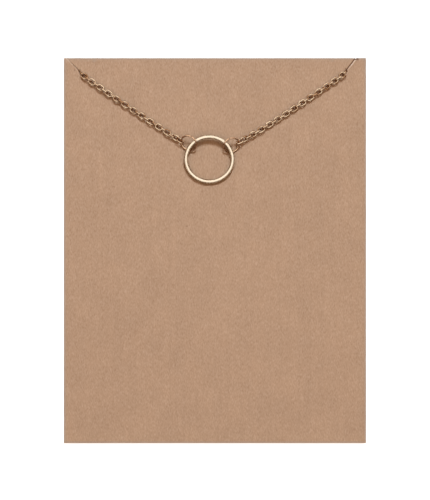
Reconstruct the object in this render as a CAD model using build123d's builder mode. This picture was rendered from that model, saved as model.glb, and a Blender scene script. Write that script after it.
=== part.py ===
from build123d import *
from math import asin, atan, cos, degrees, pi, radians, sin, sqrt, tan
import os

# Open circle pendant on a fine cable chain, held on a plain kraft card by two slits.
# The card lies face up on the hidden stretch of the chain, which lies on the surface.
# Z is up, Y runs along the card's long side towards the slits, and the origin is on the
# surface under the card's centre. Lengths are in millimetres.

# Card
card_width = 70.0
card_height = 89.2
card_thickness = 0.35
slit_width = 0.2
eye_clearance = 0.15
mouth_width = 0.8
mouth_depth = 0.5

# Slits: how far from the card's side each one starts at the top edge, and how far from the
# side and from the top edge its inner end is, where the chain goes through
left_mouth_inset = 0.6
left_eye_inset = (4.14, 3.69)
right_mouth_inset = 2.3
right_eye_inset = (5.0, 3.45)

# Pendant: an open wire circle, a little wider than high, whose top edge is raised
pendant_width = 11.75
pendant_height = 11.35
pendant_wire = 0.95
pendant_center = (-1.32, 21.11)
pendant_tilt = 6.0

# Jump rings: cut wire rings, and where each one hangs, measured round the pendant from +X.
# The cut is measured round the ring, uphill from its outermost point.
jump_size = 4.12
jump_wire = 0.38
jump_cut = 0.12
cut_place = 75.0
jump_slack = 0.43
crossing_gap = 0.2
left_hang = 140.6
right_hang = 33.5

# How far round a jump ring the chain holds it, downhill from its outermost point
left_pull = 32.0
right_pull = 14.0

# Chain: oval wire links, each one turned a quarter turn from the next. The first few settle
# from the way the jump ring holds them, and the stretch between its ends is twisted a little.
link_length = 2.02
link_width = 1.45
link_wire = 0.34
link_gap = 0.18
fold_gap = 0.1
hook_gap = 0.2
left_twist = 30.0
right_twist = 30.0
settling_links = 6

# Clasp: a plain ring with an eyelet, and the ring at the other end of the chain that it holds
clasp_size = 4.7
clasp_wire = 0.55
clasp_center = (0.4, 27.0)
eyelet_size = 1.9
eyelet_wire = 0.4
end_ring_size = 3.0
end_ring_wire = 0.34
end_ring_slack = 0.48
end_crossing_gap = 0.16

# Clearances between pieces that lie on or beside each other
rest_gap = 0.05
back_gap = 0.3
end_gap = 0.1

# Route of the chain, seen from above, point by point. The front stretches run from each jump
# ring to its slit, and the back stretches from each slit to the clasp.
left_front_route = [(-14.8, 29.8), (-22.6, 35.0)]
right_front_route = [(12.6, 29.2), (21.4, 35.0)]
left_back_route = [
    (-25.6, 36.0),
    (-27.3, 27.2),
    (-28.7, 13.0),
    (-27.6, -4.0),
    (-28.9, -20.0),
    (-28.2, -32.2),
    (-24.6, -39.4),
    (-17.4, -40.1),
    (-13.6, -33.0),
    (-14.3, -20.0),
    (-12.9, -4.0),
    (-14.4, 10.0),
    (-13.9, 20.4),
    (-8.6, 27.0),
]
right_back_route = [
    (25.7, 36.1),
    (27.4, 27.4),
    (26.9, 12.0),
    (28.3, -5.0),
    (27.2, -21.0),
    (28.1, -32.6),
    (24.0, -39.8),
    (16.9, -39.7),
    (13.5, -32.4),
    (12.6, -19.0),
    (14.1, -3.0),
    (13.1, 11.0),
    (14.6, 20.8),
    (9.0, 27.0),
]

# Heights above the surface. The hidden chain's outer width is that of a link.
back_width = link_width
back_level = back_width / 2
card_bottom = back_width + back_gap
card_top = card_bottom + card_thickness
card_middle = card_bottom + card_thickness / 2
front_level = card_top + rest_gap + link_width / 2
up = Vector(0, 0, 1)

# Distance from one link to the next, from a link's middle to the wire at its end, how far that
# wire lies past the joint that two links share, and where a link folded through the end sits
link_pitch = link_length - 2 * link_wire - link_gap
wire_reach = (link_length - link_wire) / 2
end_reach = wire_reach - link_pitch / 2
fold_reach = wire_reach - link_wire - fold_gap

os.makedirs("parts", exist_ok=True)


def slit_line(side, mouth_inset, eye_inset):
    """A slit's eye, the direction from there to its mouth, and the distance between them."""
    corner = Vector(side * card_width / 2, card_height / 2)
    inner = corner - Vector(side * eye_inset[0], eye_inset[1])
    mouth = corner - Vector(side * mouth_inset, 0) - inner
    return inner, mouth.normalized(), mouth.length


left_inner, left_slit, left_slit_length = slit_line(-1, left_mouth_inset, left_eye_inset)
right_inner, right_slit, right_slit_length = slit_line(1, right_mouth_inset, right_eye_inset)


# Card: a plain plate. Each slit is a thin cut from the top edge to an eye, where the chain goes
# through. The eye is as wide as an upright link needs.
eye_length = link_width + 2 * eye_clearance
eye_width = link_wire + 2 * eye_clearance
with BuildPart() as card:
    with BuildSketch(Plane.XY.offset(card_bottom)):
        Rectangle(card_width, card_height)
        for inner, slit, length in (
            (left_inner, left_slit, left_slit_length),
            (right_inner, right_slit, right_slit_length),
        ):
            eye_angle = Vector(1, 0).get_signed_angle(slit, up)
            with Locations(Location(inner, eye_angle)):
                SlotOverall(eye_length, eye_width, mode=Mode.SUBTRACT)
                Rectangle(
                    length + slit_width,
                    slit_width,
                    align=(Align.MIN, Align.CENTER),
                    mode=Mode.SUBTRACT,
                )
        mouth_x = card_width / 2 - right_mouth_inset
        with BuildLine():
            Polyline(
                (mouth_x - mouth_width / 2, card_height / 2),
                (mouth_x, card_height / 2 - mouth_depth),
                (mouth_x + mouth_width / 2, card_height / 2),
                close=True,
            )
        make_face(mode=Mode.SUBTRACT)
    extrude(amount=card_thickness)
card.part.label = "card"
export_step(card.part, "parts/card.step")


# Circle ring: one round wire bent into a closed circle, which lies on the card by its lower edge.
wire_radius_x = (pendant_width - pendant_wire) / 2
wire_radius_y = (pendant_height - pendant_wire) / 2
pendant_level = card_top + rest_gap + pendant_wire / 2 + wire_radius_y * sin(radians(pendant_tilt))
pendant_plane = Plane(Location((*pendant_center, pendant_level), (pendant_tilt, 0, 0)))
with BuildPart() as circle_ring:
    with BuildLine(pendant_plane):
        pendant_line = EllipticalCenterArc((0, 0), wire_radius_x, wire_radius_y, arc_size=360)
    with BuildSketch(Plane(origin=pendant_line @ 0, z_dir=pendant_line % 0)):
        Circle(pendant_wire / 2)
    sweep()
circle_ring.part.label = "circle_ring"
export_step(circle_ring.part, "parts/circle_ring.step")


def round_the_pendant(angle):
    """The middle of the pendant's wire at an angle round it, and the direction outwards there."""
    turn = radians(angle)
    place = (wire_radius_x * cos(turn), wire_radius_y * sin(turn), 0)
    across = pendant_plane.x_dir * (cos(turn) / wire_radius_x)
    along = pendant_plane.y_dir * (sin(turn) / wire_radius_y)
    return pendant_plane.from_local_coords(place), (across + along).normalized()


def leaning_ring(seat, outward, uphill, size, wire, held_wire, slack, gap):
    """Plane of a ring that hangs outwards on a held wire: over it uphill and under it downhill."""
    radius = (size - wire) / 2
    offset = radius - (wire + held_wire) / 2 - slack
    reach = sqrt(radius**2 - offset**2)
    lean = asin(((wire + held_wire) / 2 + gap) / reach)
    above = outward.cross(uphill)
    above = above if above.Z > 0 else -above
    slope = uphill * cos(lean) + above * sin(lean)
    return Plane(origin=seat + outward * offset, x_dir=outward, z_dir=outward.cross(slope))


def ring_point(plane, radius, pull):
    """A point on a leaning ring, so many degrees downhill from its outermost point."""
    turn = radians(pull)
    return plane.from_local_coords((radius * cos(turn), -radius * sin(turn), 0))


def ring_way(plane, pull):
    """The way that a leaning ring's wire runs there."""
    turn = radians(pull)
    return plane.x_dir * sin(turn) + plane.y_dir * cos(turn)


# Jump rings: cut rings of thinner wire, linked through the pendant and leaning on its wire, with
# the cut uphill, away from what each one holds.
jump_radius = (jump_size - jump_wire) / 2
cut_angle = degrees(jump_cut / jump_radius)
jump_planes = []
for hang, turn in ((left_hang, 1), (right_hang, -1)):
    seat, outward = round_the_pendant(hang)
    uphill = outward.cross(pendant_plane.z_dir) * turn
    jump_planes.append(
        leaning_ring(
            seat, outward, uphill, jump_size, jump_wire, pendant_wire, jump_slack, crossing_gap
        )
    )
left_jump, right_jump = jump_planes

with BuildPart() as jump_ring_left:
    with Locations(left_jump.location * Rotation(0, 0, cut_place)):
        Torus(jump_radius, jump_wire / 2, major_angle=360 - cut_angle)
jump_ring_left.part.label = "jump_ring_left"
export_step(jump_ring_left.part, "parts/jump_ring_left.step")

with BuildPart() as jump_ring_right:
    with Locations(right_jump.location * Rotation(0, 0, cut_place)):
        Torus(jump_radius, jump_wire / 2, major_angle=360 - cut_angle)
jump_ring_right.part.label = "jump_ring_right"
export_step(jump_ring_right.part, "parts/jump_ring_right.step")


# Link: a wire oval of two straight sides and two half circles, made once, lying along X.
side_length = link_length - link_width
end_radius = (link_width - link_wire) / 2
with BuildPart() as link:
    with BuildLine() as link_line:
        link_side = Line((-side_length / 2, -end_radius), (side_length / 2, -end_radius))
        CenterArc((side_length / 2, 0), end_radius, -90, 180)
        Line((side_length / 2, end_radius), (-side_length / 2, end_radius))
        CenterArc((-side_length / 2, 0), end_radius, 90, 180)
    with BuildSketch(Plane(origin=link_side @ 0, z_dir=link_side % 0)):
        Circle(link_wire / 2)
    sweep()


def folded_link(seat, heading, level):
    """A link that leaves a seat at a slope, so that its far joint lies at another height."""
    far = wire_reach + link_pitch / 2
    rise = level - seat.Z
    slope = (heading * sqrt(far**2 - rise**2) + up * rise) / far
    return seat + slope * wire_reach, slope, seat + slope * far


def front_links(hook, route, inner, slit):
    """Middle and heading of each link from a jump ring to a slit, through it and out below."""
    points = [Vector(x, y, front_level) for x, y in route]
    eye = inner + up * card_middle
    towards_ring = (Vector(*route[-1]) - inner).normalized()
    fore_way = (towards_ring - slit).normalized()
    fore, fore_slope, fore_joint = folded_link(eye + up * fold_reach, fore_way, front_level)
    last, last_slope, last_joint = folded_link(eye - up * fold_reach, -slit, back_level)
    hold = (jump_wire + link_wire) / 2 + hook_gap - end_reach
    start = hook - (points[0] - hook).normalized() * hold
    with BuildLine():
        course = Spline(start, *points, fore_joint)
    count = 2 * round((course.length / link_pitch - 1) / 2) + 1
    steps = [course.length * step / count for step in range(count + 1)]
    joints = [course.position_at(step, PositionMode.LENGTH) for step in steps]
    links = [((near + far) / 2, (far - near).normalized()) for near, far in zip(joints, joints[1:])]
    return links + [(fore, -fore_slope), (eye, -up), (last, last_slope)], last_joint


def square_to(heading, across):
    """The two directions square to a heading, the first as near to across as it can be."""
    sideways = (across - heading * across.dot(heading)).normalized()
    return sideways, heading.cross(sideways)


def link_places(links, slit, wire_way, twist):
    """A place for each link, square to the jump ring's wire at first and then upright and flat."""
    across = slit.cross(up)
    front = len(links) - 3
    sideways, upwards = square_to(links[0][1], across)
    first_roll = atan(wire_way.dot(upwards) / wire_way.dot(sideways))
    places = []
    for index, (middle, heading) in enumerate(links):
        sideways, upwards = square_to(heading, across)
        settling = first_roll * (1 - min(index / settling_links, 1))
        swing = radians(twist) * sin(pi * min(index / front, 1))
        roll = pi / 2 * (index % 2) + settling + swing
        facing = sideways * cos(roll) + upwards * sin(roll)
        places.append(Plane(origin=middle, x_dir=heading, z_dir=facing).location)
    return places


# Front chains: links from each jump ring to its slit. The last three go down through the eye,
# fold over the card's edge there and come out below.
left_hook = ring_point(left_jump, jump_radius, left_pull)
left_way = ring_way(left_jump, left_pull)
left_links, left_last = front_links(left_hook, left_front_route, left_inner, left_slit)
with BuildPart() as chain_left:
    with Locations(*link_places(left_links, left_slit, left_way, left_twist)):
        add(link.part)
chain_left.part.label = "chain_left"
export_step(chain_left.part, "parts/chain_left.step")

right_hook = ring_point(right_jump, jump_radius, right_pull)
right_way = ring_way(right_jump, right_pull)
right_links, right_last = front_links(right_hook, right_front_route, right_inner, right_slit)
with BuildPart() as chain_right:
    with Locations(*link_places(right_links, right_slit, right_way, right_twist)):
        add(link.part)
chain_right.part.label = "chain_right"
export_step(chain_right.part, "parts/chain_right.step")


# Clasp: a plain spring ring with the eyelet that the left chain's last link holds.
clasp_radius = (clasp_size - clasp_wire) / 2
clasp_level = card_bottom / 2
eyelet_radius = (eyelet_size - eyelet_wire) / 2
eyelet_x = clasp_center[0] - clasp_size / 2 - eyelet_radius
with BuildPart() as clasp:
    with Locations((*clasp_center, clasp_level)):
        Torus(clasp_radius, clasp_wire / 2)
    with Locations((eyelet_x, clasp_center[1], clasp_level)):
        Torus(eyelet_radius, eyelet_wire / 2)
clasp.part.label = "clasp"
export_step(clasp.part, "parts/clasp.step")


# End ring: hangs on the clasp's far side and leans through it, as the jump rings do.
end_ring_radius = (end_ring_size - end_ring_wire) / 2
clasp_seat = Vector(clasp_center[0] + clasp_radius, clasp_center[1], clasp_level)
end_plane = leaning_ring(
    clasp_seat,
    Vector(1, 0, 0),
    Vector(0, 1, 0),
    end_ring_size,
    end_ring_wire,
    clasp_wire,
    end_ring_slack,
    end_crossing_gap,
)
with BuildPart() as end_ring:
    with Locations(end_plane.location):
        Torus(end_ring_radius, end_ring_wire / 2)
end_ring.part.label = "end_ring"
export_step(end_ring.part, "parts/end_ring.step")


def corner_radii(points):
    """As large an arc at each corner of a route as its two runs leave room for."""
    radii = []
    for before, corner, after in zip(points, points[1:], points[2:]):
        shorter = min((corner - before).length, (after - corner).length)
        half_turn = radians((corner - before).get_angle(after - corner)) / 2
        radii.append(0.45 * shorter / tan(half_turn))
    return radii


def back_points(last_joint, slit, route, end):
    """Route of a hidden stretch, from just past the last link under a slit to the clasp."""
    start = last_joint - slit * (end_reach + link_wire / 2 + end_gap)
    return [start, *[Vector(x, y, back_level) for x, y in route], end]


# Hidden chains: the rest of the loop lies in one open layer under the card and comes together
# at the clasp. Each is one solid of the chain's outer width.
left_end = Vector(eyelet_x - eyelet_size / 2 - end_gap, clasp_center[1], back_level)
left_points = back_points(left_last, left_slit, left_back_route, left_end)
left_radii = corner_radii(left_points)
with BuildPart() as chain_back_left:
    with BuildLine():
        left_line = FilletPolyline(*left_points, radius=left_radii)
    with BuildSketch(Plane(origin=left_line @ 0, z_dir=left_line % 0)):
        Circle(back_width / 2)
    sweep()
chain_back_left.part.label = "chain_back_left"
export_step(chain_back_left.part, "parts/chain_back_left.step")

end_ring_far = ring_point(end_plane, end_ring_radius + end_ring_wire / 2, 0)
right_end = Vector(end_ring_far.X + end_gap, clasp_center[1], back_level)
right_points = back_points(right_last, right_slit, right_back_route, right_end)
right_radii = corner_radii(right_points)
with BuildPart() as chain_back_right:
    with BuildLine():
        right_line = FilletPolyline(*right_points, radius=right_radii)
    with BuildSketch(Plane(origin=right_line @ 0, z_dir=right_line % 0)):
        Circle(back_width / 2)
    sweep()
chain_back_right.part.label = "chain_back_right"
export_step(chain_back_right.part, "parts/chain_back_right.step")

# Sizes to compare with the real thing
front_links_length = (len(left_links) + len(right_links)) * link_pitch
front_length = front_links_length + (right_hook - left_hook).length
back_length = left_line.length + right_line.length + right_end.X - left_end.X
print("corner radii, left:", [round(radius, 1) for radius in left_radii])
print("corner radii, right:", [round(radius, 1) for radius in right_radii])
print("links in front:", len(left_links), "and", len(right_links))
print("whole loop:", round(front_length + back_length, 1), "mm")
section = pi * back_width**2 / 4
for tube, line in ((chain_back_left, left_line), (chain_back_right, right_line)):
    print(tube.part.label, "volume", round(tube.part.volume, 2))
    print("section x length", round(section * line.length, 2))
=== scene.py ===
import math

import bmesh
import bpy
import numpy as np
from mathutils import Matrix, Vector
from mathutils.geometry import delaunay_2d_cdt


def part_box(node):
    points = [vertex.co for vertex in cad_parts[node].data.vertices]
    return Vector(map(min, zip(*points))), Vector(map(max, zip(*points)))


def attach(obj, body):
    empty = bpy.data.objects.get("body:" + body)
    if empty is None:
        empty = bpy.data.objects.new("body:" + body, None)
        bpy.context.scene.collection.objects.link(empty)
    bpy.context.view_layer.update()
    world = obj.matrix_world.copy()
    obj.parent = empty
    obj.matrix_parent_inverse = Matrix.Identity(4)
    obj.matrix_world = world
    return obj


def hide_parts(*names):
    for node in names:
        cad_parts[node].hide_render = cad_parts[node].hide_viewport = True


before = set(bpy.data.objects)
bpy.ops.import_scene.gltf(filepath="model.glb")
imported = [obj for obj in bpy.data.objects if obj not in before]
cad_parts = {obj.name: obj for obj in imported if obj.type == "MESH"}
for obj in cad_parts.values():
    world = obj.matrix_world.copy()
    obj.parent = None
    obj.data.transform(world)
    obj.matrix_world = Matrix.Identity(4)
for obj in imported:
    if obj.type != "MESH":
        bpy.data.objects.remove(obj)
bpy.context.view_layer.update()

# Open circle pendant on a fine cable chain, held on a plain kraft card that lies face up.
# Lengths are in metres, and mm turns a size written in millimetres into them.
mm = 0.001


# Card
# A die-cut piece of unbleached kraft board. Two knife slits run in from its top edge to hold the
# chain, and the corner outside each slit stands a little proud where the chain was pulled in.
card_low, card_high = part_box("card")
card_thickness = card_high.z - card_low.z
edge_round = 0.03 * mm
edge_segments = 2
sharp_angle = 60
slit_width = 0.02 * mm
slit_steps = 12
eye_length = 1.75 * mm
eye_width = 0.54 * mm
eye_steps = 9
notch_width = 0.34 * mm
notch_depth = 0.26 * mm
# How far round the notched mouth the painted shade reaches.
notch_shade_reach = 0.42 * mm
flap_reach = 4.2 * mm
flap_bend = 1.5
flap_fade = 2
# A slit's painted rims: a pale lit rim on the flap's side and painted shade in the cut beside it.
pale_rim = 0.25 * mm
dark_rim = 0.25 * mm
cut_darkness = 0.88
edge_wear = 0.6 * mm


def linear(hex_colour):
    """An sRGB hex colour as linear red, green, blue and alpha."""
    parts = [int(hex_colour[start : start + 2], 16) / 255 for start in (1, 3, 5)]
    return (*[p / 12.92 if p <= 0.04045 else ((p + 0.055) / 1.055) ** 2.4 for p in parts], 1.0)


def add_node(tree, kind, inputs=(), **settings):
    """Adds a node, sets it, and fills its inputs with values or with other nodes' outputs."""
    added = tree.nodes.new(kind)
    for name, value in settings.items():
        setattr(added, name, value)
    for socket, value in dict(inputs).items():
        if isinstance(value, bpy.types.NodeSocket):
            tree.links.new(value, added.inputs[socket])
        else:
            added.inputs[socket].default_value = value
    return added


def new_finish(name):
    """A new material with an empty tree to build its finish in."""
    finish = bpy.data.materials.new(name)
    finish.use_nodes = True
    finish.node_tree.nodes.clear()
    return finish, finish.node_tree


def put_in_scene(name, data):
    """A new object in the scene, for a mesh, a curve, a lamp or a camera."""
    added = bpy.data.objects.new(name, data)
    bpy.context.scene.collection.objects.link(added)
    return added


def dress(piece, finish, slot, *nodes):
    """Gives a finished piece its material and its place in the frame."""
    if finish.name not in piece.data.materials:
        piece.data.materials.clear()
        piece.data.materials.append(finish)
    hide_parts(*nodes)
    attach(piece, "root")


# Kraft board is pressed from brown pulp and left uncoated, so it is matt, with short fibres that
# lie all ways, a soft cloudiness, a faint grain down the sheet and a few dark specks of bark. Real
# fibres are much finer, and are drawn as wide as they need to be to show.
fibre_tints = ("#9D7E65", "#AA8B71", "#B59982")
fibre_width = 0.24 * mm
fibre_length = 0.6 * mm
fibre_turns = (20, 75, 140)
fibre_low = 0.35
fibre_high = 0.65
fibre_height = 0.03 * mm
fibre_relief = 0.25
cloud_size = 5.0 * mm
cloud_depth = 0.04
cloud_detail = 3.0
grain_width = 1.1 * mm
grain_depth = 0.02
fine_detail = 2.0
noise_low = 0.3
noise_high = 0.7
speck_tint = "#70523E"
speck_spacing = 9.0 * mm
speck_core = 0.135 * mm
speck_reach = 0.315 * mm
speck_depth = 0.45
worn_tint = "#A08F80"
# The pale rim beside a slit: torn core, and painted light where the cut edge catches the light.
core_and_edge_light_tint = "#E1CCB9"
# Painted shade in a slit's cut and round the notch.
cut_shade_tint = "#4A2408"
board_roughness = 0.92
matt_level = 0.2
kraft_board, tree = new_finish("kraft_board")
place = add_node(tree, "ShaderNodeTexCoord").outputs["Object"]
fibres = 0.0
for turn in fibre_turns:
    laid = add_node(
        tree,
        "ShaderNodeMapping",
        {
            "Vector": place,
            "Rotation": (0, 0, math.radians(turn)),
            "Scale": (1, fibre_width / fibre_length, 1),
        },
    )
    fibre = add_node(
        tree,
        "ShaderNodeTexNoise",
        {"Vector": laid.outputs[0], "Scale": 1 / fibre_width, "Detail": fine_detail},
    )
    added_up = add_node(
        tree, "ShaderNodeMath", {0: fibres, 1: fibre.outputs["Fac"]}, operation="ADD"
    )
    fibres = added_up.outputs[0]
fibre_tone = add_node(
    tree,
    "ShaderNodeMapRange",
    {
        "Value": fibres,
        "From Min": fibre_low * len(fibre_turns),
        "From Max": fibre_high * len(fibre_turns),
    },
)
tint = add_node(tree, "ShaderNodeValToRGB", {"Fac": fibre_tone.outputs[0]})
tint.color_ramp.elements.new(0.5)
for stop, hex_colour in zip(tint.color_ramp.elements, fibre_tints):
    stop.color = linear(hex_colour)
down_the_sheet = add_node(
    tree, "ShaderNodeMapping", {"Vector": place, "Scale": (1, grain_width / card_high.y, 1)}
)
shade = 1.0
for where, size, detail, depth in (
    (place, cloud_size, cloud_detail, cloud_depth),
    (down_the_sheet.outputs[0], grain_width, fine_detail, grain_depth),
):
    drift = add_node(
        tree, "ShaderNodeTexNoise", {"Vector": where, "Scale": 1 / size, "Detail": detail}
    )
    tone = add_node(
        tree,
        "ShaderNodeMapRange",
        {
            "Value": drift.outputs["Fac"],
            "From Min": noise_low,
            "From Max": noise_high,
            "To Min": 1 - depth,
            "To Max": 1 + depth,
        },
    )
    shaded = add_node(
        tree, "ShaderNodeMath", {0: shade, 1: tone.outputs[0]}, operation="MULTIPLY"
    )
    shade = shaded.outputs[0]
pulp = add_node(
    tree, "ShaderNodeVectorMath", {0: tint.outputs["Color"], "Scale": shade}, operation="SCALE"
)
speck = add_node(
    tree, "ShaderNodeTexVoronoi", {"Vector": place, "Scale": 1 / speck_spacing}
)
speck_shade = add_node(
    tree,
    "ShaderNodeMapRange",
    {
        "Value": speck.outputs["Distance"],
        "From Min": speck_core / speck_spacing,
        "From Max": speck_reach / speck_spacing,
        "To Min": speck_depth,
        "To Max": 0.0,
    },
)

# Over the pulp come the specks, the rubbed edges, a slit's pale rim and the cut's painted shade.
# The pale rim is torn core and painted light where the cut edge catches the light, and the cut
# and the notch are painted shade. The last three are painted on the card's mesh.
coats = [(speck_shade.outputs[0], speck_tint)]
for name, hex_colour in (("worn", worn_tint), ("core_and_edge_light", core_and_edge_light_tint), ("cut_shade", cut_shade_tint)):
    painted = add_node(tree, "ShaderNodeAttribute", attribute_name=name)
    coats.append((painted.outputs["Fac"], hex_colour))
board_colour = pulp.outputs[0]
for share, hex_colour in coats:
    coated = add_node(
        tree,
        "ShaderNodeMix",
        {"Factor": share, "A": board_colour, "B": linear(hex_colour)},
        data_type="RGBA",
    )
    board_colour = coated.outputs["Result"]
relief = add_node(
    tree,
    "ShaderNodeBump",
    {"Height": fibres, "Strength": fibre_relief, "Distance": fibre_height},
)
board_surface = add_node(
    tree,
    "ShaderNodeBsdfPrincipled",
    {
        "Base Color": board_colour,
        "Roughness": board_roughness,
        "Specular IOR Level": matt_level,
        "Normal": relief.outputs[0],
    },
)
add_node(tree, "ShaderNodeOutputMaterial", {"Surface": board_surface.outputs[0]})


class Slit:
    """A knife slit, from the eye where the chain goes through to its mouth at the top edge.

    Its side is -1 at the card's left and 1 at its right. The flap outside it stands up by lift at
    the mouth, and paleness is how pale its rim is painted: torn core, and painted light where the
    cut edge catches the light. The cut's painted shade grows over shade_run from its mouth, and a
    notched mouth has a small notch with painted shade round it.
    """

    def __init__(self, side, mouth_inset, eye_inset, lift, paleness, shade_run, notched):
        corner = Vector((side * card_high.x, card_high.y))
        self.eye = corner - Vector((side * eye_inset[0], eye_inset[1]))
        run = corner - Vector((side * mouth_inset, 0)) - self.eye
        self.length = run.length
        self.mouth = self.eye + run
        self.way = run.normalized()
        self.right = Vector((self.way.y, -self.way.x))
        self.side = side
        self.lift = lift
        self.paleness = paleness
        self.shade_run = shade_run
        self.notched = notched

    def point(self, along, across):
        """A point so far along the slit from the eye, and so far to its right."""
        return self.eye + self.way * along + self.right * across

    def outline(self):
        """The card's edge round the slit, from the right of its mouth to the left of it."""
        radius = eye_width / 2
        reach = eye_length / 2 - radius
        half = slit_width / 2
        opening = math.asin(half / radius)
        eye_edge = []
        for centre, first, last in (
            (reach, opening, math.pi / 2),
            (-reach, math.pi / 2, 3 * math.pi / 2),
            (reach, 3 * math.pi / 2, 2 * math.pi - opening),
        ):
            for angle in np.linspace(first, last, eye_steps):
                along = centre + radius * math.cos(angle)
                eye_edge.append(self.point(along, radius * math.sin(angle)))
        top = card_high.y - (notch_depth if self.notched else 0)
        rims = []
        for across in (half, -half):
            mouth_at = (top - self.point(0, across).y) / self.way.y
            stops = np.linspace(eye_length / 2, mouth_at, slit_steps)[1:]
            rim = [self.point(along, across) for along in stops]
            if self.notched:
                rim.append(self.mouth + Vector((math.copysign(notch_width / 2, across), 0)))
            rims.append(rim)
        return [*reversed(rims[0]), *eye_edge, *rims[1]]

    def place_of(self, point):
        """How far along the slit a point is, and how far to its right."""
        offset = point - self.eye
        return offset.dot(self.way), offset.dot(self.right)

    def rise(self, point):
        """How far the board is lifted at a point, as a share of the lift at the mouth."""
        along, across = self.place_of(point)
        off_slit = across * self.side
        if off_slit < 0:
            return 0.0
        towards_mouth = min(max((along + eye_length / 2) / (self.length + eye_length / 2), 0), 1)
        near_slit = max(1 - off_slit / flap_reach, 0)
        return towards_mouth**flap_bend * near_slit**flap_fade


left_slit = Slit(
    side=-1,
    mouth_inset=0.6 * mm,
    eye_inset=(4.14 * mm, 3.69 * mm),
    lift=0.14 * mm,
    paleness=0.3,
    shade_run=6.0 * mm,
    notched=False,
)
right_slit = Slit(
    side=1,
    mouth_inset=2.3 * mm,
    eye_inset=(5.0 * mm, 3.45 * mm),
    lift=0.3 * mm,
    paleness=0.95,
    shade_run=0.1 * mm,
    notched=True,
)

# The card's mesh is coarse, with rows of points close together beside the slits, where the board
# bends and its paint changes, and a row just inside each edge, where the wear ends.
coarse_step = 2.4 * mm
slit_step = 0.32 * mm
slit_rows = [row * mm for row in (0.1, 0.2, 0.3, 0.5, 0.75, 1.05, 1.5, 2.1, 2.8, 3.6)]
slit_overrun = 3 * mm
edge_margin = 0.12 * mm
mouth_clear = 0.5 * mm
corner_clear = 8 * mm
top_stops = np.arange(
    right_slit.mouth.x - mouth_clear, left_slit.mouth.x + mouth_clear, -coarse_step
)
outline = [
    Vector((card_low.x, card_low.y)),
    Vector((card_high.x, card_low.y)),
    Vector((card_high.x, card_high.y)),
    Vector((right_slit.mouth.x + mouth_clear, card_high.y)),
    *right_slit.outline(),
    *[Vector((x, card_high.y)) for x in top_stops],
    *left_slit.outline(),
    Vector((card_low.x, card_high.y)),
]
inner_points = []
for x in np.arange(card_low.x + coarse_step, card_high.x - coarse_step / 2, coarse_step):
    for y in np.arange(card_low.y + coarse_step, card_high.y - coarse_step / 2, coarse_step):
        inner_points.append(Vector((x, y)))
for slit in (left_slit, right_slit):
    rows_reach = slit.length / 2 + slit_rows[-1] + coarse_step / 2
    slit_middle = slit.point(slit.length / 2, 0)
    inner_points = [point for point in inner_points if (point - slit_middle).length > rows_reach]
    for along in np.arange(-slit_overrun, slit.length + slit_overrun, slit_step):
        for across in [side * row for row in slit_rows for side in (1, -1)]:
            point = slit.point(along, across)
            in_eye = abs(along) < eye_length / 2 + edge_margin and abs(across) < eye_width
            from_edge = min(card_high.x - abs(point.x), card_high.y - point.y)
            if from_edge > edge_margin and not in_eye:
                inner_points.append(point)
for edge_x in (card_low.x + edge_wear, card_high.x - edge_wear):
    for y in np.arange(card_low.y + edge_wear, card_high.y - corner_clear, coarse_step):
        inner_points.append(Vector((edge_x, y)))
for edge_y in (card_low.y + edge_wear, card_high.y - edge_wear):
    for x in np.arange(card_low.x + corner_clear, card_high.x - corner_clear, coarse_step):
        inner_points.append(Vector((x, edge_y)))


def face_at(point):
    """The height of the card's face at a point, its pale lit rim, its painted cut shade and its
    wear.
    """
    height = card_high.z
    torn_and_lit = 0.0
    cut_shade = 0.0
    for slit in (left_slit, right_slit):
        height += slit.lift * slit.rise(point)
        along, across = slit.place_of(point)
        off_slit = across * slit.side
        # Pale rim: torn core, and painted light where the cut edge catches the light.
        if 0 < off_slit < pale_rim and along > 0:
            torn_and_lit = slit.paleness * min(along / slit.length, 1)
        # Painted shade in the cut, fading out towards the mouth.
        if -dark_rim < off_slit < 0 and along > 0:
            cut_shade = cut_darkness * min(max((slit.length - along) / slit.shade_run, 0), 1)
        # Painted shade round the notch.
        to_mouth = slit.mouth - point
        if slit.notched and max(abs(to_mouth.x), abs(to_mouth.y)) < notch_shade_reach:
            cut_shade = cut_darkness
    to_edge = min(card_high.x - abs(point.x), card_high.y - abs(point.y))
    return height, torn_and_lit, cut_shade, max(1 - to_edge / edge_wear, 0)


# The mesh is laid out in millimetres, which suits the distance within which points are joined.
plan = [point / mm for point in outline + inner_points]
rim = list(range(len(outline)))
only_inside = 1
join_within = 1e-5
corners, _, faces, *_ = delaunay_2d_cdt(plan, [], [rim], only_inside, join_within)
heights, core_and_edge_light, cut_shade, worn = zip(*[face_at(corner * mm) for corner in corners])
places = [(corner.x * mm, corner.y * mm, height) for corner, height in zip(corners, heights)]
card_sheet = bpy.data.meshes.new("kraft_card")
card_sheet.from_pydata(places, [], faces)
# The pale lit rim, the painted cut shade and the wear go on the mesh.
for name, values in (("core_and_edge_light", core_and_edge_light), ("cut_shade", cut_shade), ("worn", worn)):
    card_sheet.attributes.new(name, "FLOAT", "POINT").data.foreach_set("value", values)
card_sheet.update()
kraft_card = put_in_scene("kraft_card", card_sheet)
# The board's thickness goes down from its face.
board = kraft_card.modifiers.new("board", "SOLIDIFY")
board.thickness = card_thickness
board.offset = -1
rounded = kraft_card.modifiers.new("die_cut_edge", "BEVEL")
rounded.width = edge_round
rounded.segments = edge_segments
rounded.angle_limit = math.radians(sharp_angle)
dress(kraft_card, kraft_board, "kraft_card", "card")


# Pendant
# One length of round brass wire, bent into a circle and soldered shut, then polished and plated
# with pale gold. It is threaded on the two jump rings and lies tilted on the card.
pendant_wire = 0.95 * mm
cut_end_facing = 0.9
join_reach = 0.0005 * mm


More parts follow.
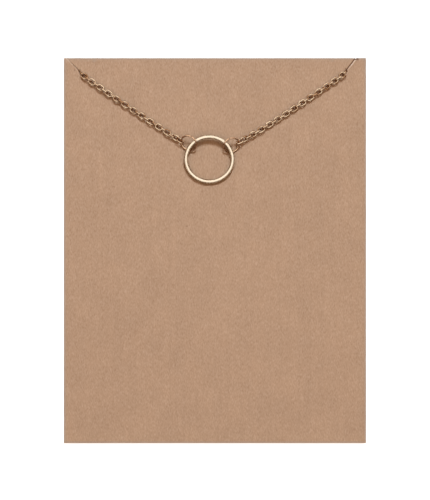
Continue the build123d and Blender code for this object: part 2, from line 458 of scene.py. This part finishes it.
def lie_of(faces):
    """Middle of some faces, and their long, middle and short directions, weighed by area."""
    thirds = [[v.co for v in face.verts] for face in faces]
    a, b, c = (np.array([corner[i] for corner in thirds]) for i in range(3))
    area = np.linalg.norm(np.cross(b - a, c - a), axis=1)[:, None]
    total = a + b + c
    middle = (total / 3 * area).sum(0) / area.sum()
    moment = sum((part * area).T @ part for part in (total, a, b, c)) / 12 / area.sum()
    _, ways = np.linalg.eigh(moment - np.outer(middle, middle))
    return Vector(middle), [Vector(ways[:, i]) for i in (2, 1, 0)]


def loose_parts(node):
    """A copy of a CAD node's mesh with its doubled corners joined, and each part's faces."""
    shape = bmesh.new()
    shape.from_mesh(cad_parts[node].data)
    bmesh.ops.remove_doubles(shape, verts=shape.verts, dist=join_reach)
    waiting = set(shape.verts)
    parts = []
    while waiting:
        front = [waiting.pop()]
        part = set(front)
        while front:
            near = {edge.other_vert(vert) for vert in front for edge in vert.link_edges}
            front = list(near & waiting)
            waiting -= near
            part |= near
        parts.append([face for face in shape.faces if face.verts[0] in part])
    return shape, parts


def bend_wire(shape, middle, ways, radii, wire, turns, sides, ends=None):
    """Adds an oval of round wire to a mesh, closed or from one end's angle to the other's."""
    across, along, axis = ways
    first, last = ends or (0.0, 2 * math.pi)
    loops = []
    for angle in np.linspace(first, last, turns + 1)[: None if ends else -1]:
        centre = across * math.cos(angle) * radii[0] + along * math.sin(angle) * radii[1]
        out = across * math.cos(angle) / radii[0] + along * math.sin(angle) / radii[1]
        out.normalize()
        loop = []
        for roll in np.linspace(0, 2 * math.pi, sides, endpoint=False):
            offset = (out * math.cos(roll) + axis * math.sin(roll)) * wire / 2
            loop.append(shape.verts.new(middle + centre + offset))
        loops.append(loop)
    for near, far in zip(loops, loops[1:] if ends else loops[1:] + loops[:1]):
        for side in range(sides):
            after = (side + 1) % sides
            shape.faces.new((near[side], far[side], far[after], near[after]))
    if ends:
        shape.faces.new(loops[0])
        shape.faces.new(reversed(loops[-1]))


def wire_ring(name, node, wire, turns, sides, has_cut=False):
    """A ring of round wire with the lie and size of a CAD node's, closed or with its cut."""
    shape, parts = loose_parts(node)
    middle, (_, _, axis) = lie_of(parts[0])
    across = (Vector((1, 0, 0)) - axis * axis.x).normalized()
    along = axis.cross(across)
    spread = np.array([vert.co - middle for vert in shape.verts])
    radii = []
    for way in (across, along):
        reach = spread @ np.array(way)
        middle = middle + way * (reach.max() + reach.min()) / 2
        radii.append((reach.max() - reach.min() - wire) / 2)
    ends = None
    if has_cut:
        # The flat faces of the cut look along the wire, which runs from one of them to the other.
        angles = []
        for face in shape.faces:
            out = face.calc_center_median() - middle
            way = axis.cross(out).normalized()
            if abs(face.normal.dot(way)) > cut_end_facing:
                angles.append(math.atan2(out.dot(along), out.dot(across)))
        start = angles[0]
        angles = [(angle - start + math.pi) % (2 * math.pi) - math.pi + start for angle in angles]
        ends = (max(angles), min(angles) + 2 * math.pi)
    shape.free()
    ring = bmesh.new()
    bend_wire(ring, middle, (across, along, axis), radii, wire, turns, sides, ends)
    bmesh.ops.recalc_face_normals(ring, faces=ring.faces)
    mesh = bpy.data.meshes.new(name)
    ring.to_mesh(mesh)
    ring.free()
    mesh.shade_smooth()
    return put_in_scene(name, mesh)


# All the metal is polished and plated brass wire. Its colour is painted lighter where it faces up
# and darker on its flanks: painted highlight and painted shade, with patches that move where the
# shade starts. Real polishing marks are far finer, and are drawn as coarse as they need to be
# to show.
mark_size = 0.4 * mm
mark_detail = 4.0
mark_height = 0.01 * mm
mark_relief = 0.04
patch_size = 1.6 * mm
patch_detail = 1.0
flank_shade_fade = 0.47
gloss_low = 0.8
gloss_high = 1.25


def polished_metal(name, top_tint, flank_shade_tint, roughness, flank_shade_from, patchiness):
    """Plated brass wire, with the tint of its upper side and of the painted shade on its flanks."""
    finish, tree = new_finish(name)
    place = add_node(tree, "ShaderNodeTexCoord").outputs["Object"]
    marks = add_node(
        tree,
        "ShaderNodeTexNoise",
        {"Vector": place, "Scale": 1 / mark_size, "Detail": mark_detail},
    )
    patches = add_node(
        tree,
        "ShaderNodeTexNoise",
        {"Vector": place, "Scale": 1 / patch_size, "Detail": patch_detail},
    )
    # Painted highlight and painted shade: lighter where the surface faces up, darker on its flanks.
    normal = add_node(tree, "ShaderNodeNewGeometry").outputs["Normal"]
    level = add_node(tree, "ShaderNodeSeparateXYZ", {"Vector": normal}).outputs["Z"]
    uneven = add_node(
        tree,
        "ShaderNodeMath",
        {0: patches.outputs["Fac"], 1: patchiness, 2: level},
        operation="MULTIPLY_ADD",
    )
    facing_light_share = add_node(
        tree,
        "ShaderNodeMapRange",
        {"Value": uneven.outputs[0], "From Min": flank_shade_from, "From Max": flank_shade_from + flank_shade_fade},
    )
    plating_and_painted_light = add_node(
        tree,
        "ShaderNodeMix",
        {"Factor": facing_light_share.outputs[0], "A": linear(flank_shade_tint), "B": linear(top_tint)},
        data_type="RGBA",
    )
    gloss = add_node(
        tree,
        "ShaderNodeMapRange",
        {
            "Value": marks.outputs["Fac"],
            "From Min": noise_low,
            "From Max": noise_high,
            "To Min": roughness * gloss_low,
            "To Max": roughness * gloss_high,
        },
    )
    relief = add_node(
        tree,
        "ShaderNodeBump",
        {"Height": marks.outputs["Fac"], "Strength": mark_relief, "Distance": mark_height},
    )
    surface = add_node(
        tree,
        "ShaderNodeBsdfPrincipled",
        {
            "Base Color": plating_and_painted_light.outputs["Result"],
            "Metallic": 1.0,
            "Roughness": gloss.outputs[0],
            "Normal": relief.outputs[0],
        },
    )
    add_node(tree, "ShaderNodeOutputMaterial", {"Surface": surface.outputs[0]})
    return finish


# Pale gold plate, polished and then worn smooth: a soft mirror, so the thick wire shows one broad
# bright ridge, and its flanks are painted in dull olive shade.
pale_gold_plate = polished_metal(
    "pale_gold_plate",
    top_tint="#F0E4D2",
    flank_shade_tint="#8C7A55",
    roughness=0.25,
    flank_shade_from=0.27,
    patchiness=0.05,
)
open_circle = wire_ring("open_circle", "circle_ring", pendant_wire, turns=128, sides=28)
dress(open_circle, pale_gold_plate, "polished_gold", "circle_ring")


# Jump rings
# Two rings of thinner brass wire, cut from a coil and closed with pliers, so each keeps its fine
# cut. They pass through the pendant and lean on its wire, and each holds its chain's first link.
jump_wire = 0.38 * mm

# Rose gold plate, handled with pliers: a soft mirror, warmer than the pendant's, with its sides
# painted in brown shade, in more patches than the pendant's.
rose_gold_plate = polished_metal(
    "rose_gold_plate",
    top_tint="#ECCCAE",
    flank_shade_tint="#A87452",
    roughness=0.28,
    flank_shade_from=0.62,
    patchiness=0.3,
)
for side in ("left", "right"):
    node = "jump_ring_" + side
    jump_ring = wire_ring("jump_" + side, node, jump_wire, turns=72, sides=16, has_cut=True)
    dress(jump_ring, rose_gold_plate, "chain_gold", node)


# Cable chain in front
# Oval links of fine brass wire, bent round a mandrel and soldered by machine, each about a quarter
# turn from the next. Each lies where its CAD link does, turned nearer to flat or to on edge, as
# links settle away from the ring that holds them.
link_length = 2.02 * mm
link_width = 1.45 * mm
link_wire = 0.34 * mm
bend_share = 0.49
settled_share = 0.8
ring_hold = 4
front_play = 12
front_seed = {"left": 3, "right": 8}

# Gilt wire, drawn through a die and tumbled: a sharp mirror. Each link is painted with a pale
# glint where it faces up, in patches, and with brown shade elsewhere.
gilt_wire = polished_metal(
    "gilt_wire",
    top_tint="#ECD8BE",
    flank_shade_tint="#A57C58",
    roughness=0.12,
    flank_shade_from=1.4,
    patchiness=1.5,
)


def link_tree():
    """Sets a wire link on each point, lying along its heading and square to its facing."""
    tree = bpy.data.node_groups.new("cable_links", "GeometryNodeTree")
    panel = tree.interface
    panel.new_socket("Geometry", in_out="OUTPUT", socket_type="NodeSocketGeometry")
    panel.new_socket("Geometry", in_out="INPUT", socket_type="NodeSocketGeometry")
    for name in ("Length", "Width", "Wire", "Play"):
        panel.new_socket(name, in_out="INPUT", socket_type="NodeSocketFloat")
    for name in ("Bend steps", "Wire sides", "Seed"):
        panel.new_socket(name, in_out="INPUT", socket_type="NodeSocketInt")
    panel.new_socket("Finish", in_out="INPUT", socket_type="NodeSocketMaterial")
    given = add_node(tree, "NodeGroupInput").outputs
    run = add_node(
        tree, "ShaderNodeMath", {0: given["Length"], 1: given["Wire"]}, operation="SUBTRACT"
    )
    breadth = add_node(
        tree, "ShaderNodeMath", {0: given["Width"], 1: given["Wire"]}, operation="SUBTRACT"
    )
    bend = add_node(
        tree, "ShaderNodeMath", {0: breadth.outputs[0], 1: bend_share}, operation="MULTIPLY"
    )
    wire_radius = add_node(
        tree, "ShaderNodeMath", {0: given["Wire"], 1: 0.5}, operation="MULTIPLY"
    )
    oblong = add_node(
        tree,
        "GeometryNodeCurvePrimitiveQuadrilateral",
        {"Width": run.outputs[0], "Height": breadth.outputs[0]},
        mode="RECTANGLE",
    )
    oval = add_node(
        tree,
        "GeometryNodeFilletCurve",
        {
            "Curve": oblong.outputs[0],
            "Count": given["Bend steps"],
            "Radius": bend.outputs[0],
            "Limit Radius": True,
        },
        mode="POLY",
    )
    section = add_node(
        tree,
        "GeometryNodeCurvePrimitiveCircle",
        {"Resolution": given["Wire sides"], "Radius": wire_radius.outputs[0]},
        mode="RADIUS",
    )
    link = add_node(
        tree,
        "GeometryNodeCurveToMesh",
        {"Curve": oval.outputs[0], "Profile Curve": section.outputs[0]},
    )
    smooth = add_node(
        tree, "GeometryNodeSetShadeSmooth", {"Geometry": link.outputs[0], "Shade Smooth": True}
    )
    heading = add_node(
        tree, "GeometryNodeInputNamedAttribute", {"Name": "heading"}, data_type="FLOAT_VECTOR"
    )
    facing = add_node(
        tree, "GeometryNodeInputNamedAttribute", {"Name": "facing"}, data_type="FLOAT_VECTOR"
    )
    lie = add_node(
        tree,
        "FunctionNodeAxesToRotation",
        {"Primary Axis": heading.outputs[0], "Secondary Axis": facing.outputs[0]},
        primary_axis="X",
        secondary_axis="Z",
    )
    least = add_node(
        tree, "ShaderNodeMath", {0: given["Play"], 1: -1.0}, operation="MULTIPLY"
    )
    play = add_node(
        tree,
        "FunctionNodeRandomValue",
        {"Min": least.outputs[0], "Max": given["Play"], "Seed": given["Seed"]},
        data_type="FLOAT",
    )
    play_value = [output for output in play.outputs if output.enabled][0]
    roll = add_node(
        tree, "FunctionNodeAxisAngleToRotation", {"Axis": (1.0, 0.0, 0.0), "Angle": play_value}
    )
    rolled = add_node(
        tree,
        "FunctionNodeRotateRotation",
        {"Rotation": lie.outputs[0], "Rotate By": roll.outputs[0]},
        rotation_space="LOCAL",
    )
    links = add_node(
        tree,
        "GeometryNodeInstanceOnPoints",
        {
            "Points": given["Geometry"],
            "Instance": smooth.outputs[0],
            "Rotation": rolled.outputs[0],
        },
    )
    whole = add_node(tree, "GeometryNodeRealizeInstances", {"Geometry": links.outputs[0]})
    plated = add_node(
        tree,
        "GeometryNodeSetMaterial",
        {"Geometry": whole.outputs[0], "Material": given["Finish"]},
    )
    add_node(tree, "NodeGroupOutput", {"Geometry": plated.outputs[0]})
    return tree


cable_links = link_tree()


def string_links(name, links, bend_steps, wire_sides, play, seed):
    """A plain mesh of links, one for each middle, heading and facing, rolled by up to play."""
    points = bpy.data.meshes.new(name + "_places")
    points.from_pydata([middle for middle, _, _ in links], [], [])
    for column, attribute in ((1, "heading"), (2, "facing")):
        values = [number for link in links for number in link[column]]
        points.attributes.new(attribute, "FLOAT_VECTOR", "POINT").data.foreach_set("vector", values)
    maker = put_in_scene(name + "_maker", points)
    strung = maker.modifiers.new("links", "NODES")
    strung.node_group = cable_links
    sizes = {
        "Length": link_length,
        "Width": link_width,
        "Wire": link_wire,
        "Play": math.radians(play),
        "Bend steps": bend_steps,
        "Wire sides": wire_sides,
        "Seed": seed,
        "Finish": gilt_wire,
    }
    for socket in cable_links.interface.items_tree:
        if socket.in_out == "INPUT" and socket.name in sizes:
            strung[socket.identifier] = sizes[socket.name]
    graph = bpy.context.evaluated_depsgraph_get()
    mesh = bpy.data.meshes.new_from_object(maker.evaluated_get(graph), depsgraph=graph)
    maker.modifiers.remove(strung)
    bpy.data.objects.remove(maker)
    mesh.name = name
    return put_in_scene(name, mesh)


lowest_links = {}
for side in ("left", "right"):
    node = "chain_" + side
    shape, parts = loose_parts(node)
    found = [lie_of(part) for part in parts]
    found.sort(key=lambda lie: abs(lie[0].x))
    shape.free()
    links = []
    for index, (middle, (heading, _, facing)) in enumerate(found):
        level = Vector((-heading.y, heading.x, 0)).normalized()
        upright = heading.cross(level)
        nearest = max((level, -level, upright, -upright), key=facing.dot)
        if middle.z > card_high.z:
            facing = facing.lerp(nearest, settled_share * min(index / ring_hold, 1)).normalized()
        links.append((middle, heading, facing))
    lowest_links[side] = min(links, key=lambda link: link[0].z)
    chain = string_links(
        "cable_" + side, links, bend_steps=7, wire_sides=10, play=front_play, seed=front_seed[side]
    )
    dress(chain, gilt_wire, "chain_gold", node)


# Cable chain behind the card
# The same chain, which the card hides. It lies loose on the surface under the card in one open
# layer, from each slit to the clasp or the end ring. Its links lean left and right in turn.
left_route = [
    (-25.6, 36.0),
    (-27.3, 27.2),
    (-28.7, 13.0),
    (-27.6, -4.0),
    (-28.9, -20.0),
    (-28.2, -32.2),
    (-24.6, -39.4),
    (-17.4, -40.1),
    (-13.6, -33.0),
    (-14.3, -20.0),
    (-12.9, -4.0),
    (-14.4, 10.0),
    (-13.9, 20.4),
    (-8.6, 27.0),
]
right_route = [
    (25.7, 36.1),
    (27.4, 27.4),
    (26.9, 12.0),
    (28.3, -5.0),
    (27.2, -21.0),
    (28.1, -32.6),
    (24.0, -39.8),
    (16.9, -39.7),
    (13.5, -32.4),
    (12.6, -19.0),
    (14.1, -3.0),
    (13.1, 11.0),
    (14.6, 20.8),
    (9.0, 27.0),
]
route_steps = 24
lying_level = 0.68 * mm
link_gap = 0.18 * mm
link_pitch = link_length - 2 * link_wire - link_gap
wire_reach = (link_length - link_wire) / 2
settling = 6
settled_lean = math.pi / 4
quarter_turn = math.pi / 2
hidden_play = 6
hidden_seed = {"left": 5, "right": 6}
eyelet_size = 1.9 * mm
hook_play = 0.28 * mm
end_play = 0.1 * mm
clasp_low, clasp_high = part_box("clasp")
_, end_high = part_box("end_ring")
clasp_y = (clasp_low.y + clasp_high.y) / 2
clasp_z = (clasp_low.z + clasp_high.z) / 2
eyelet_x = clasp_low.x + eyelet_size / 2
left_end_x = eyelet_x - hook_play - wire_reach + link_pitch / 2
end_inside_x = end_high.x - link_wire - end_play
right_end_x = end_inside_x - link_wire / 2 + wire_reach - link_pitch / 2


def along_the_route(start, route, end):
    """The smooth line of a hidden stretch, through the middle of its route."""
    laid = bpy.data.curves.new("route", "CURVE")
    laid.dimensions = "3D"
    spline = laid.splines.new("NURBS")
    stops = [start, *[Vector((x * mm, y * mm, lying_level)) for x, y in route], end]
    spline.points.add(len(stops) - 1)
    for point, stop in zip(spline.points, stops):
        point.co = (*stop, 1)
    spline.order_u = 3
    spline.use_endpoint_u = True
    spline.resolution_u = route_steps
    holder = put_in_scene("route", laid)
    graph = bpy.context.evaluated_depsgraph_get()
    mesh = bpy.data.meshes.new_from_object(holder.evaluated_get(graph), depsgraph=graph)
    line = np.array([vert.co for vert in mesh.vertices])
    bpy.data.meshes.remove(mesh)
    bpy.data.objects.remove(holder)
    return line


for side, route, end_x in (("left", left_route, left_end_x), ("right", right_route, right_end_x)):
    middle, heading, _ = lowest_links[side]
    if heading.z > 0:
        heading = -heading
    start = middle + heading * link_pitch / 2
    end = Vector((end_x, clasp_y, clasp_z))
    line = along_the_route(start, route, end)
    steps = np.linalg.norm(np.diff(line, axis=0), axis=1)
    distance = np.concatenate([[0], np.cumsum(steps)])
    # An odd number of links, so that the last one is turned as the first is.
    count = 2 * round((distance[-1] / link_pitch - 1) / 2) + 1
    stations = np.linspace(0, distance[-1], count + 1)
    joints = np.stack([np.interp(stations, distance, line[:, axis]) for axis in range(3)], axis=1)
    links = []
    for index, (near, far) in enumerate(zip(joints, joints[1:])):
        way = Vector(far - near).normalized()
        level = Vector((-way.y, way.x, 0)).normalized()
        settled = min(index, count - 1 - index, settling) / settling
        lean = quarter_turn * (index % 2) + settled_lean * settled
        facing = level * math.cos(lean) + way.cross(level) * math.sin(lean)
        links.append((Vector((near + far) / 2), way, facing))
    chain = string_links(
        "hidden_cable_" + side,
        links,
        bend_steps=2,
        wire_sides=6,
        play=hidden_play,
        seed=hidden_seed[side],
    )
    dress(chain, gilt_wire, "chain_gold", "chain_back_" + side)


# Clasp
# A plain ring clasp of brass wire with an eyelet soldered on, which the card hides. The chain's
# left end is linked into the eyelet, and the ring holds the end ring of its right end.
clasp_size = 4.7 * mm
clasp_wire = 0.55 * mm
eyelet_wire = 0.4 * mm
solder_grain = 0.05 * mm
solder_smoothing = 0.5
smoothing_rounds = 4
clasp_x = clasp_high.x - clasp_size / 2
level_ways = (Vector((1, 0, 0)), Vector((0, 1, 0)), Vector((0, 0, 1)))
clasp_wires = bmesh.new()
for x, size, wire in ((clasp_x, clasp_size, clasp_wire), (eyelet_x, eyelet_size, eyelet_wire)):
    radius = (size - wire) / 2
    middle = Vector((x, clasp_y, clasp_z))
    bend_wire(clasp_wires, middle, level_ways, (radius, radius), wire, turns=64, sides=16)
bmesh.ops.recalc_face_normals(clasp_wires, faces=clasp_wires.faces)
clasp_mesh = bpy.data.meshes.new("ring_clasp")
clasp_wires.to_mesh(clasp_mesh)
clasp_wires.free()
ring_clasp = put_in_scene("ring_clasp", clasp_mesh)
soldered = ring_clasp.modifiers.new("soldered", "REMESH")
soldered.mode = "VOXEL"
soldered.voxel_size = solder_grain
soldered.use_smooth_shade = True
polished = ring_clasp.modifiers.new("polished", "SMOOTH")
polished.factor = solder_smoothing
polished.iterations = smoothing_rounds
dress(ring_clasp, gilt_wire, "chain_gold", "clasp")


# End ring
# A small ring of the chain's own wire, soldered shut on the last link of its right end. The clasp
# is hooked into it.
closing_ring = wire_ring("closing_ring", "end_ring", link_wire, turns=56, sides=12)
dress(closing_ring, gilt_wire, "chain_gold", "end_ring")


# Floor
# A plain white light table, far wider than the card. It glows round the card, so that shadows
# stay faint, but not under it.
floor_half = 3.0
floor_drop = 0.01 * mm
floor_tint = "#F2F2F0"
floor_roughness = 0.8
glow_tint = "#FFFFFF"
glow_round_card = 0.85


def white_floor(name, glow):
    """Opal acrylic, which is white, even and matt, and glows so much from the lamp under it."""
    finish, tree = new_finish(name)
    surface = add_node(
        tree,
        "ShaderNodeBsdfPrincipled",
        {
            "Base Color": linear(floor_tint),
            "Roughness": floor_roughness,
            "Specular IOR Level": matt_level,
            "Emission Color": linear(glow_tint),
            "Emission Strength": glow,
        },
    )
    add_node(tree, "ShaderNodeOutputMaterial", {"Surface": surface.outputs[0]})
    return finish


around = ((-1, -1), (1, -1), (1, 1), (-1, 1))
floor_corners = [(x * floor_half, y * floor_half, -floor_drop) for x, y in around]
floor_corners += [(x * card_high.x, y * card_high.y, -floor_drop) for x, y in around]
under_card = (4, 5, 6, 7)
floor_faces = [(0, 1, 5, 4), (1, 2, 6, 5), (2, 3, 7, 6), (3, 0, 4, 7), under_card]
floor_mesh = bpy.data.meshes.new("floor")
floor_mesh.from_pydata(floor_corners, [], floor_faces)
floor_mesh.materials.append(white_floor("light_table", glow_round_card))
floor_mesh.materials.append(white_floor("white_table", 0.0))
floor_mesh.polygons[floor_faces.index(under_card)].material_index = 1
floor = put_in_scene("floor", floor_mesh)


# Light
# A soft key light from beyond the card's top edge, a little to the right, and a soft fill from
# above light the board. A very wide soft box overhead is what the metal mirrors. Their turns and
# rises are in degrees.
straight_up = 90
key_turn = 8
key_rise = 53
key_distance = 1.2
key_size = 0.24
key_share = 0.82
key_bright = key_share * math.pi * key_distance**2 / key_size**2 / math.sin(math.radians(key_rise))
room_bright = 0.13
room_tint = "#FFC891"


def soft_box(name, turn, rise, distance, size, bright, tint, mirrored):
    """A square soft box aimed at the card, which the metal mirrors or the board is lit by."""
    light = bpy.data.lights.new(name, "AREA")
    light.shape = "SQUARE"
    light.size = size
    light.color = linear(tint)[:3]
    light.energy = bright * math.pi * size**2
    lamp = put_in_scene(name, light)
    azimuth = math.radians(turn)
    elevation = math.radians(rise)
    flat = math.cos(elevation)
    way = Vector((math.sin(azimuth) * flat, math.cos(azimuth) * flat, math.sin(elevation)))
    aim = way.to_track_quat("Z", "Y").to_matrix().to_4x4()
    lamp.matrix_world = Matrix.Translation(way * distance) @ aim
    lamp.visible_glossy = mirrored
    lamp.visible_diffuse = not mirrored


soft_box("key", key_turn, key_rise, key_distance, key_size, key_bright, "#DAEEFF", mirrored=False)
soft_box(
    "fill",
    turn=0,
    rise=straight_up,
    distance=1.4,
    size=2.4,
    bright=1.05,
    tint="#FADEC4",
    mirrored=False,
)
soft_box(
    "wide_box",
    turn=0,
    rise=69,
    distance=1.8,
    size=5.2,
    bright=1.14,
    tint="#FFFAF2",
    mirrored=True,
)
room = bpy.data.worlds.new("room")
room.use_nodes = True
room.node_tree.nodes["Background"].inputs["Color"].default_value = linear(room_tint)
room.node_tree.nodes["Background"].inputs["Strength"].default_value = room_bright
bpy.context.scene.world = room
bpy.context.scene.view_settings.view_transform = "Standard"


# Camera
# Straight above the card, with a long lens. The card's middle is a little under the middle of
# the picture, as it is in the photograph.
sensor = 36.0
view_height = 115.75 * mm
view_distance = 1.0
view_middle = 0.15 * mm
nearest_seen = 0.01
furthest_seen = 20.0
camera = put_in_scene("camera", bpy.data.cameras.new("camera"))
camera.data.sensor_width = sensor
camera.data.lens = sensor * view_distance / view_height
camera.data.clip_start = nearest_seen
camera.data.clip_end = furthest_seen
camera.location = (0, view_middle, card_high.z + view_distance)
bpy.context.scene.camera = camera
